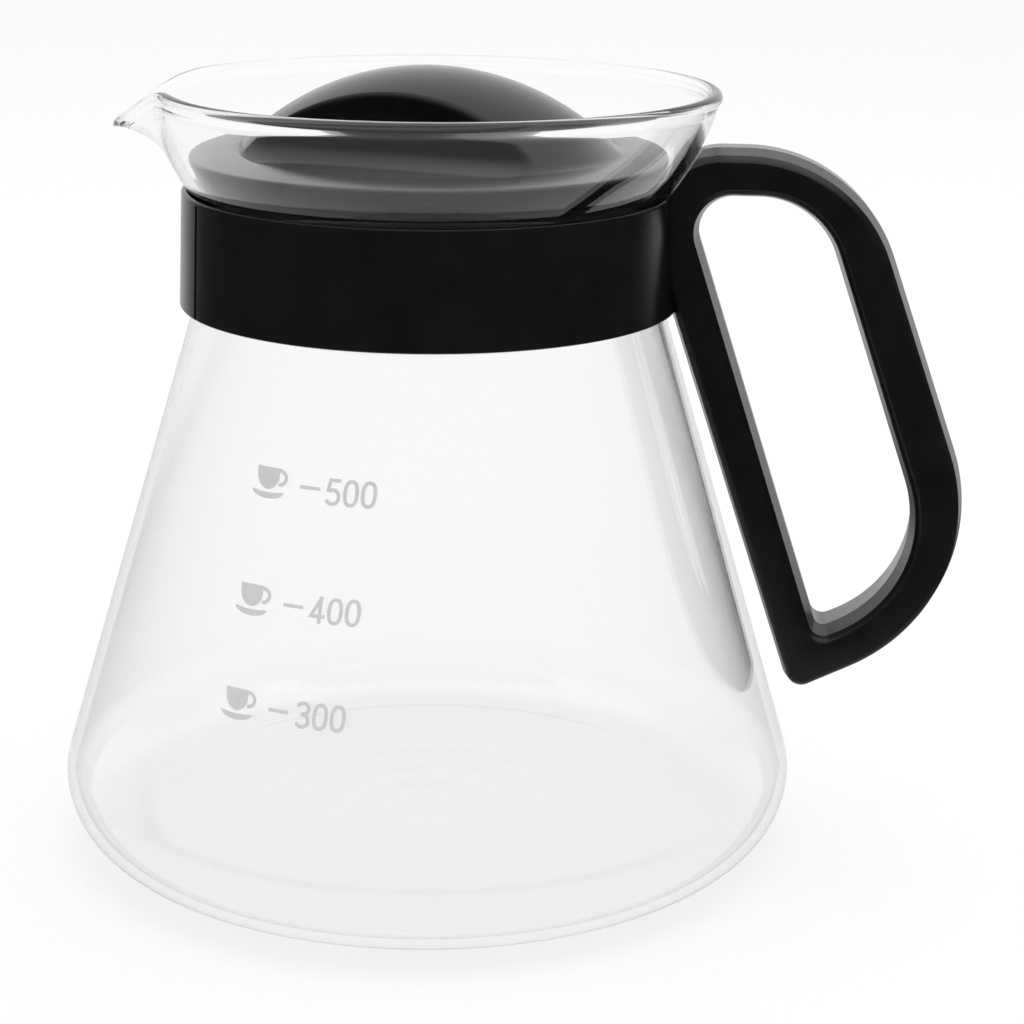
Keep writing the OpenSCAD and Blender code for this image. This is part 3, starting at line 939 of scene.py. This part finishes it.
# Lid
LID_SEAT_R = glass_r(LID_SEAT_Z, GLASS_WALL) - SEAT_FIT
FLANGE_Z = LID_SEAT_Z + FLANGE_H
FLANGE_R = LID_SEAT_R + FLANGE_TAPER
FLOOR_Z = FLANGE_Z - SCOOP_DEPTH
DOME_C_Z = FLANGE_Z + DOME_RISE - DOME_R
PLUG_R = THROAT_C[0] - THROAT_BEND_R - GLASS_WALL - PLUG_FIT
PLUG_Z = LID_SEAT_Z - PLUG_DEPTH


def soft_min(a, b, k):
    """The lower of two heights, with the edge between them rounded off."""
    if k <= 0:
        return min(a, b)
    h = max(k - abs(a - b), 0)
    return min(a, b) - h * h / (4 * k)


def bar_height(v, inset=0):
    """Height of the grip bar's wall, fillet and floor at a distance from the bar's middle."""
    lean = math.radians(BAR_DRAFT)
    half_w = BAR_HALF_W - inset / math.cos(lean)
    floor = FLOOR_Z - inset
    r = BAR_FILLET_R
    foot = half_w + r * math.tan((math.pi / 2 - lean) / 2)
    v = abs(v)
    if v >= foot:
        return floor
    if v >= foot - r * math.cos(lean):
        return floor + r - math.sqrt(r * r - (foot - v) ** 2)
    return floor + (half_w - v) / math.tan(lean)


def dome_height(u, v, inset=0):
    span = (DOME_R - inset) ** 2 - u * u - (DOME_CROWN * v) ** 2
    return DOME_C_Z + math.sqrt(max(span, 0))


def lid_height(u, v):
    """Height of the lid's top: dome, scoops and crowned flange."""
    r = math.hypot(u, v)
    flange = FLANGE_Z - FLANGE_CROWN * max(0, (r - SCOOP_R) / (FLANGE_R - SCOOP_R)) ** 2
    dome = dome_height(u, v)
    softness = BAR_EDGE_SOFTNESS * smoothstep(0, BAR_END_FADE, dome - FLANGE_Z)
    bar = soft_min(bar_height(v), dome, softness)
    inside, outside = max(bar, FLOOR_Z), max(bar, flange)
    return inside + (outside - inside) * smoothstep(SCOOP_R - SCOOP_RIM, SCOOP_R + SCOOP_RIM, r)


def disc_rows(radius, steps, *dense):
    """Distances from the middle for rows across a disc, closer together over some stretches."""
    rows = {round(radius * math.sin(math.radians(a)), 4) for a in spread(-90, 90, steps)}
    for low, high, count in dense:
        for v in spread(low, high, count):
            rows |= {round(v, 4), round(-v, 4)}
    return sorted(rows)


def disc_field(radius, height, rows, columns, points, faces):
    """A height field over a disc, as rows across it. Returns its edge as a loop of point numbers."""
    grid = []
    for v in rows:
        reach = math.sqrt(max(radius * radius - v * v, 0))
        pole = reach <= POLE_R
        across = [0] if pole else [math.sin(math.radians(a)) * reach for a in spread(-90, 90, columns)]
        grid.append(range(len(points), len(points) + len(across)))
        points += [(u, v, height(u, v)) for u in across]
    for low, high in zip(grid, grid[1:]):
        if len(low) == 1:
            faces += [(low[0], high[i + 1], high[i]) for i in range(columns)]
        elif len(high) == 1:
            faces += [(low[i], low[i + 1], high[0]) for i in range(columns)]
        else:
            faces += [(low[i], low[i + 1], high[i + 1], high[i]) for i in range(columns)]
    right = [row[-1] for row in grid]
    left = [row[0] for row in grid[-2:0:-1]]
    return right + left


def lid_skirt(top_r, top_z, bore_r):
    """Section of the lid from the flange's edge over seat, groove and plug to the bore's upper end."""
    edge = (top_r, top_z - FLANGE_EDGE_R)
    edge_turn = spread(90, -SKIRT_LEAN, FLANGE_EDGE_STEPS)
    skirt = [polar(edge, FLANGE_EDGE_R, a) for a in edge_turn[1:]]
    foot = (LID_SEAT_R - FLANGE_FOOT_R, LID_SEAT_Z + FLANGE_FOOT_R)
    skirt += [polar(foot, FLANGE_FOOT_R, a) for a in spread(-SKIRT_LEAN, -90, FLANGE_FOOT_STEPS)]
    groove_z = FLANGE_Z - LID_WALL
    skirt += [(LID_SEAT_R - LID_WALL, LID_SEAT_Z), (LID_SEAT_R - LID_WALL, groove_z), (PLUG_R, groove_z)]
    e = PLUG_EDGE_R
    skirt += [polar((PLUG_R - e, PLUG_Z + e), e, a) for a in spread(0, -90, PLUG_EDGE_STEPS)]
    skirt += [polar((bore_r + e, PLUG_Z + e), e, a) for a in spread(-90, -180, PLUG_EDGE_STEPS)]
    return skirt + [(bore_r, FLOOR_Z - LID_WALL)]


def lid():
    """Lid with its domed grip bar between two scoops, crowned flange, seat and hollow plug."""
    points, faces = [], []
    top_r = FLANGE_R - FLANGE_EDGE_R
    rows = disc_rows(top_r, LID_ROWS, BAR_WALL_ROWS, SCOOP_RIM_ROWS)
    edge = disc_field(top_r, lid_height, rows, LID_COLUMNS, points, faces)
    bore_r = PLUG_R - LID_WALL
    angles = [math.atan2(points[i][1], points[i][0]) for i in edge]
    loop = edge
    for r, z in lid_skirt(top_r, lid_height(top_r, 0), bore_r):
        start = len(points)
        points += [(r * math.cos(a), r * math.sin(a), z) for a in angles]
        count = len(angles)
        for i in range(count):
            j = (i + 1) % count
            faces.append((loop[i], loop[j], start + j, start + i))
        loop = range(start, start + count)

    def hollow(u, v):
        inside = soft_min(bar_height(v, LID_WALL), dome_height(u, v, LID_WALL), HOLLOW_SOFTNESS)
        rise = HOLLOW_EDGE_SLOPE * max(0, bore_r - math.hypot(u, v))
        return FLOOR_Z - LID_WALL + max(0, min(rise, inside - FLOOR_Z + LID_WALL))

    scale = bore_r / top_r
    disc_field(bore_r, hollow, [v * scale for v in rows], LID_COLUMNS, points, faces)
    piece = mesh_piece("lid_with_grip", points, faces, LID_PLASTIC)
    piece.data.transform(Matrix.Rotation(math.radians(LID_TURN), 4, "Z"))
    finish_mesh(piece, LID_CREASE, LID_MERGE)
    return piece


# Printed marks
def stroke(line, width):
    """A line drawn with a broad pen, as one closed loop with mitred corners."""
    points = [Vector(p) for p in line]
    left, right = [], []
    for i, p in enumerate(points):
        before = (p - points[i - 1]).normalized() if i else None
        after = (points[i + 1] - p).normalized() if i + 1 < len(points) else before
        before = before or after
        mid = (before + after).normalized()
        out = Vector((-mid.y, mid.x)) * width / 2 / max(MITRE_LEAST, mid.dot(after))
        left.append(tuple(p + out))
        right.append(tuple(p - out))
    return left + right[::-1]


def bent_line(points, places):
    """A smooth line through a few points."""
    line = []
    for i in range(len(points) - 1):
        p0, p1 = Vector(points[max(i - 1, 0)]), Vector(points[i])
        p2, p3 = Vector(points[i + 1]), Vector(points[min(i + 2, len(points) - 1)])
        square = 2 * p0 - 5 * p1 + 4 * p2 - p3
        cube = 3 * p1 - p0 - 3 * p2 + p3
        for t in spread(0, 1, places)[: None if i == len(points) - 2 else -1]:
            line.append(tuple(0.5 * (2 * p1 + (p2 - p0) * t + square * t * t + cube * t**3)))
    return line


def cup_loops():
    """A cup with an ear above a saucer, drawn round the middle of the dash beside it."""
    right_side = [(-5.1, 1.5), (-5.15, 0.55), (-5.5, -0.25), (-6.1, -0.82), (-6.95, -1.05)]
    left_side = [(-7.8, -0.82), (-8.45, -0.25), (-8.85, 0.55), (-9.0, 1.5)]
    bowl = [(-9.0, 2.12), (-5.1, 2.12)] + bent_line(right_side + left_side, CUP_STEPS)
    ear_top = [(-5.4, 1.86), (-4.75, 1.75), (-4.15, 1.35), (-3.95, 0.8)]
    ear_foot = [(-4.15, 0.25), (-4.6, -0.1), (-5.15, -0.2)]
    ear = stroke(bent_line(ear_top + ear_foot, EAR_STEPS), EAR_W)
    hollow = [(-9.65, -1.22), (-8.2, -1.42), (-6.9, -1.48), (-5.6, -1.42), (-4.15, -1.22)]
    foot = ellipse_line((-6.9, -1.22), 2.75, 1.15, 0, -180, DIGIT_STEPS)
    return [bowl, ear, bent_line(hollow, CUP_STEPS) + foot[1:-1]]


def digit_loops(digit):
    """Strokes of one digit, from its lower left corner."""
    w, h, s = DIGIT_W, DIGIT_H, DIGIT_STROKE
    e = s / 2
    if digit == "0":
        ring = [
            (w / 2 + (w / 2 - e) * math.copysign(abs(math.cos(a)) ** 0.82, math.cos(a)),
             h / 2 + (h / 2 - e) * math.copysign(abs(math.sin(a)) ** 0.82, math.sin(a)))
            for a in (math.radians(t) for t in spread(-90, 270, 2 * DIGIT_STEPS))
        ]
        return [stroke(ring[: DIGIT_STEPS + 1], s), stroke(ring[DIGIT_STEPS:], s)]
    if digit == "3":
        top = ellipse_line((0.48 * w, 0.735 * h), 0.385 * w, 0.265 * h - e, 160, -90, DIGIT_STEPS)
        foot = ellipse_line((0.48 * w, 0.29 * h), 0.52 * w - e, 0.29 * h - e, 90, -160, DIGIT_STEPS)
        foot[0] = (0.48 * w, top[-1][1] - 0.05)
        return [stroke(top + [(0.36 * w, top[-1][1])], s), stroke(foot, s)]
    if digit == "4":
        stem = [(0.66 * w, 0), (0.66 * w, h)]
        arm = [(0.72 * w, h - 0.12), (0.1 * w, 0.27 * h), (w, 0.27 * h)]
        return [stroke(stem, s), stroke(arm, s)]
    bowl = ellipse_line((0.47 * w, 0.325 * h), 0.53 * w - e, 0.325 * h - e, 128, -155, 30)
    return [stroke([(0.92 * w, h - e), (0.26 * w, h - e), (0.13 * w, 0.5 * h)], s), stroke(bowl, s)]


def flat_mesh(shape, loops):
    """Adds overlapping closed loops to a mesh as one flat sheet of triangles."""
    points, faces = [], []
    for loop in loops:
        area = sum(x0 * y1 - x1 * y0 for (x0, y0), (x1, y1) in zip(loop, loop[1:] + loop[:1]))
        faces.append(list(range(len(points), len(points) + len(loop))))
        points += [Vector(p) for p in (loop if area > 0 else loop[::-1])]
    points, _, faces, _, _, covered = delaunay_2d_cdt(points, [], faces, 0, LOOP_MERGE)
    verts = [shape.verts.new((x * MM, y * MM, 0)) for x, y in points]
    for face, loops_over in zip(faces, covered):
        if loops_over:
            shape.faces.new([verts[i] for i in face])
    return verts


def mark_sheet():
    """All marks laid flat round the middle of their dashes, each point with its mark's place."""
    shape = bmesh.new()
    place = shape.verts.layers.float_vector.new("mark")
    for angle, z, digits, digits_x, digits_y in MARKS:
        loops = cup_loops() + [stroke(DASH, DASH_W)]
        for i, digit in enumerate(digits):
            start = (digits_x + i * DIGIT_PITCH, digits_y)
            loops += [[(x + start[0], y + start[1]) for x, y in loop] for loop in digit_loops(digit)]
        for vert in flat_mesh(shape, loops):
            vert[place] = (math.radians(angle), z * MM, 0)
    for x in spread(*MARK_CUTS):
        whole = shape.verts[:] + shape.edges[:] + shape.faces[:]
        bmesh.ops.bisect_plane(shape, geom=whole, plane_co=(x * MM, 0, 0), plane_no=(1, 0, 0))
    bmesh.ops.triangulate(shape, faces=shape.faces)
    mesh = bpy.data.meshes.new("mark_sheet")
    shape.to_mesh(mesh)
    shape.free()
    return mesh


def printed_marks():
    """The flat marks wrapped round the conical wall and given the thickness of ink."""
    tree = GeometryTree(
        "wrapped_on_cone",
        cone_r=cone_r(0) * MM,
        cone_slope=math.radians(CONE_ANGLE),
        lift=INK_LIFT * MM,
        thick=INK_THICK * MM,
        finish=INK,
    )
    size = tree.inputs
    x, y, _ = tree.parts(tree.node("GeometryNodeInputPosition"))
    named = tree.node("GeometryNodeInputNamedAttribute", {"data_type": "FLOAT_VECTOR"}, {"Name": "mark"})
    angle, mid_z, _ = tree.parts(named)
    slope = size["cone_slope"]
    z = mid_z + y * slope.call("COSINE") + size["lift"] * slope.call("SINE")
    r = size["cone_r"] - z * slope.call("TANGENT") + size["lift"] / slope.call("COSINE")
    turn = angle + x / r
    on_wall = tree.joined(r * turn.call("COSINE"), r * turn.call("SINE"), z)
    flat = size["Geometry"]
    wrapped = tree.node("GeometryNodeSetPosition", None, {"Geometry": flat, "Position": on_wall})
    face = tree.node(
        "GeometryNodeExtrudeMesh",
        {"mode": "FACES"},
        {"Mesh": wrapped, "Offset Scale": size["thick"], "Individual": False},
    )
    back = tree.node("GeometryNodeFlipFaces", None, {"Mesh": wrapped})
    both = tree.node("GeometryNodeJoinGeometry")
    for layer in (back, face):
        tree.tree.links.new(layer.socket, both.socket.node.inputs["Geometry"])
    merged = {"Geometry": both, "Distance": INK_MERGE * MM}
    tree.close(tree.node("GeometryNodeMergeByDistance", None, merged))
    piece = tree.grow("volume_marks", mark_sheet())
    finish_mesh(piece, INK_CREASE, INK_MERGE / 2)
    return piece


# Stage, light and camera
def ray_shares(graph):
    """How a ray meets the surroundings: seen as they are, mirrored in glass or mirrored in plastic."""
    path = graph.node("ShaderNodeLightPath").socket.node
    direct, gloss, sharp, through, mirrors, crossed = (
        Value(graph, path.outputs[kind])
        for kind in (
            "Is Camera Ray",
            "Is Glossy Ray",
            "Is Singular Ray",
            "Is Transmission Ray",
            "Glossy Depth",
            "Transmission Depth",
        )
    )
    mirrored = gloss * mirrors.clamped(0, 1)
    in_wall = through * crossed.maths("LESS_THAN", crossed, WALL_CROSSINGS)
    in_glass = mirrored * in_wall.maths("MAXIMUM", in_wall, sharp * (1 - through))
    return direct.maths("MAXIMUM", direct, through), in_glass, mirrored * (1 - in_glass)


def white_emission(graph, kind, strength):
    return graph.node(kind, None, {"Color": (1, 1, 1, 1), "Strength": strength})


def mixed_shaders(graph, base, *layers):
    """A shader with others laid over it by their shares."""
    for share, shader in layers:
        base = graph.node("ShaderNodeMixShader", None, {0: share, 1: base, 2: shader})
    return base


def northing(x, y):
    """How far a direction or a place on the floor lies towards the back, from -1 to 1."""
    r = (x * x + y * y).call("SQRT")
    return y / r.maths("MAXIMUM", r, NORTHING_LEAST_R)


def stage():
    """White floor that keeps the object's soft shadow and is mirrored as in a studio."""
    material = bpy.data.materials.new("white_floor")
    material.use_nodes = True
    graph = Graph(material.node_tree)
    material.node_tree.nodes.clear()
    x, y, _ = graph.parts(graph.node("ShaderNodeTexCoord", None, None, "Object"))
    r = (x * x + y * y).call("SQRT")
    near = 1 - eased(graph, r, *NEAR_FLOOR)
    behind = eased(graph, northing(x, y), *BACK_EDGE)
    away = near.maths("MAXIMUM", near, eased(graph, r, *FAR_FLOOR))
    away = away.maths("MAXIMUM", away, eased(graph, y, *REAR_FLOOR))
    glow = FLOOR_GLOW + (1 - FLOOR_GLOW) * eased(graph, r, *HORIZON)

    def white(strength):
        return white_emission(graph, "ShaderNodeEmission", strength)

    lit = behind.maths("MAXIMUM", behind, near * NEAR_FLOOR_GLOSS)
    satin = mixed_shaders(graph, white(FRONT_GLOSS), (lit, white(BACK_GLOSS)))
    glassy = mixed_shaders(graph, white(GLASS_FRONT_GLOSS), (away, white(GLASS_GLOSS)))
    matt = graph.node("ShaderNodeBsdfDiffuse", None, {"Color": (FLOOR_WHITE,) * 3 + (1,)})
    seen, in_glass, in_satin = ray_shares(graph)
    surface = mixed_shaders(
        graph, matt, (seen * glow, white(1.0)), (in_satin, satin), (in_glass, glassy)
    )
    graph.node("ShaderNodeOutputMaterial", None, {"Surface": surface})
    mesh = bpy.data.meshes.new("floor")
    signs = ((-1, -1), (1, -1), (1, 1), (-1, 1))
    corners = [(x * FLOOR_HALF, y * FLOOR_HALF, FLOOR_Z_GAP) for x, y in signs]
    mesh.from_pydata(corners, [], [(0, 1, 2, 3)])
    mesh.materials.append(material)
    floor = add_object("floor", mesh)


def studio_world():
    """White surroundings, mirrored in plastic as a studio: bright overhead and behind, dark in front."""
    world = bpy.data.worlds.new("studio")
    bpy.context.scene.world = world
    world.use_nodes = True
    graph = Graph(world.node_tree)
    world.node_tree.nodes.clear()
    x, y, z = graph.parts(graph.node("ShaderNodeTexCoord", None, None, "Generated"))

    def white(strength):
        return white_emission(graph, "ShaderNodeBackground", strength)

    above = mixed_shaders(graph, white(TOP_GLOSS), (x.clamped(0, 1), white(TOP_GLOSS + RIGHT_GLOSS)))
    behind = eased(graph, northing(x, y), *BACK_EDGE)
    high = eased(graph, z, *TOP_EDGE)
    satin = mixed_shaders(graph, white(FRONT_GLOSS), (behind, white(BACK_GLOSS)), (high, above))
    seen, in_glass, in_satin = ray_shares(graph)
    surface = mixed_shaders(
        graph, white(SOFT_LIGHT), (seen, white(1.0)), (in_satin, satin), (in_glass, white(GLASS_GLOSS))
    )
    graph.node("ShaderNodeOutputWorld", None, {"Surface": surface})


def soft_light(name, place, aim, size, power):
    lamp = bpy.data.lights.new(name, "AREA")
    lamp.shape = "RECTANGLE"
    lamp.size, lamp.size_y = size
    lamp.energy = power
    holder = add_object(name, lamp)
    holder.location = place
    holder.rotation_euler = (Vector(aim) - Vector(place)).to_track_quat("-Z", "Y").to_euler()
    holder.visible_glossy = False
    holder.visible_transmission = False


def camera():
    data = bpy.data.cameras.new("photo_camera")
    data.lens = CAMERA_LENS
    data.sensor_width = CAMERA_SENSOR
    data.sensor_fit = "HORIZONTAL"
    data.clip_start = CAMERA_CLIP
    holder = add_object("photo_camera", data)
    aim = Vector(CAMERA_AIM).normalized()
    right = aim.cross(Vector((0, 0, 1))).normalized()
    up = right.cross(aim)
    c, s = math.cos(CAMERA_ROLL), math.sin(CAMERA_ROLL)
    right, up = c * right + s * up, c * up - s * right
    turn = Matrix((right, up, -aim)).transposed().to_4x4()
    holder.matrix_world = Matrix.Translation(Vector(CAMERA_PLACE) * MM) @ turn
    bpy.context.scene.camera = holder


def place_piece(piece, body, slot, *nodes):
    """Puts a piece on its body, in place of the CAD nodes that it dresses. The slot is not used."""
    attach(piece, body)
    if nodes:
        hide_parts(*nodes)


camera()
stage()
studio_world()
soft_light("top_softbox", LAMP_PLACE, LAMP_AIM, LAMP_SIZE, LAMP_POWER)
place_piece(glass_jar(), "server", "clear_glass", "glass_jar")
place_piece(front_half(), "server", "handle_plastic", "front_handle_half")
place_piece(rear_half(), "server", "handle_plastic", "rear_handle_half")
place_piece(screws(), "server", "screw_steel", "handle_screws")
place_piece(lid(), "lid", "lid_plastic", "lid")
place_piece(printed_marks(), "server", "clear_glass")

bpy.context.scene.view_settings.view_transform = "Standard"
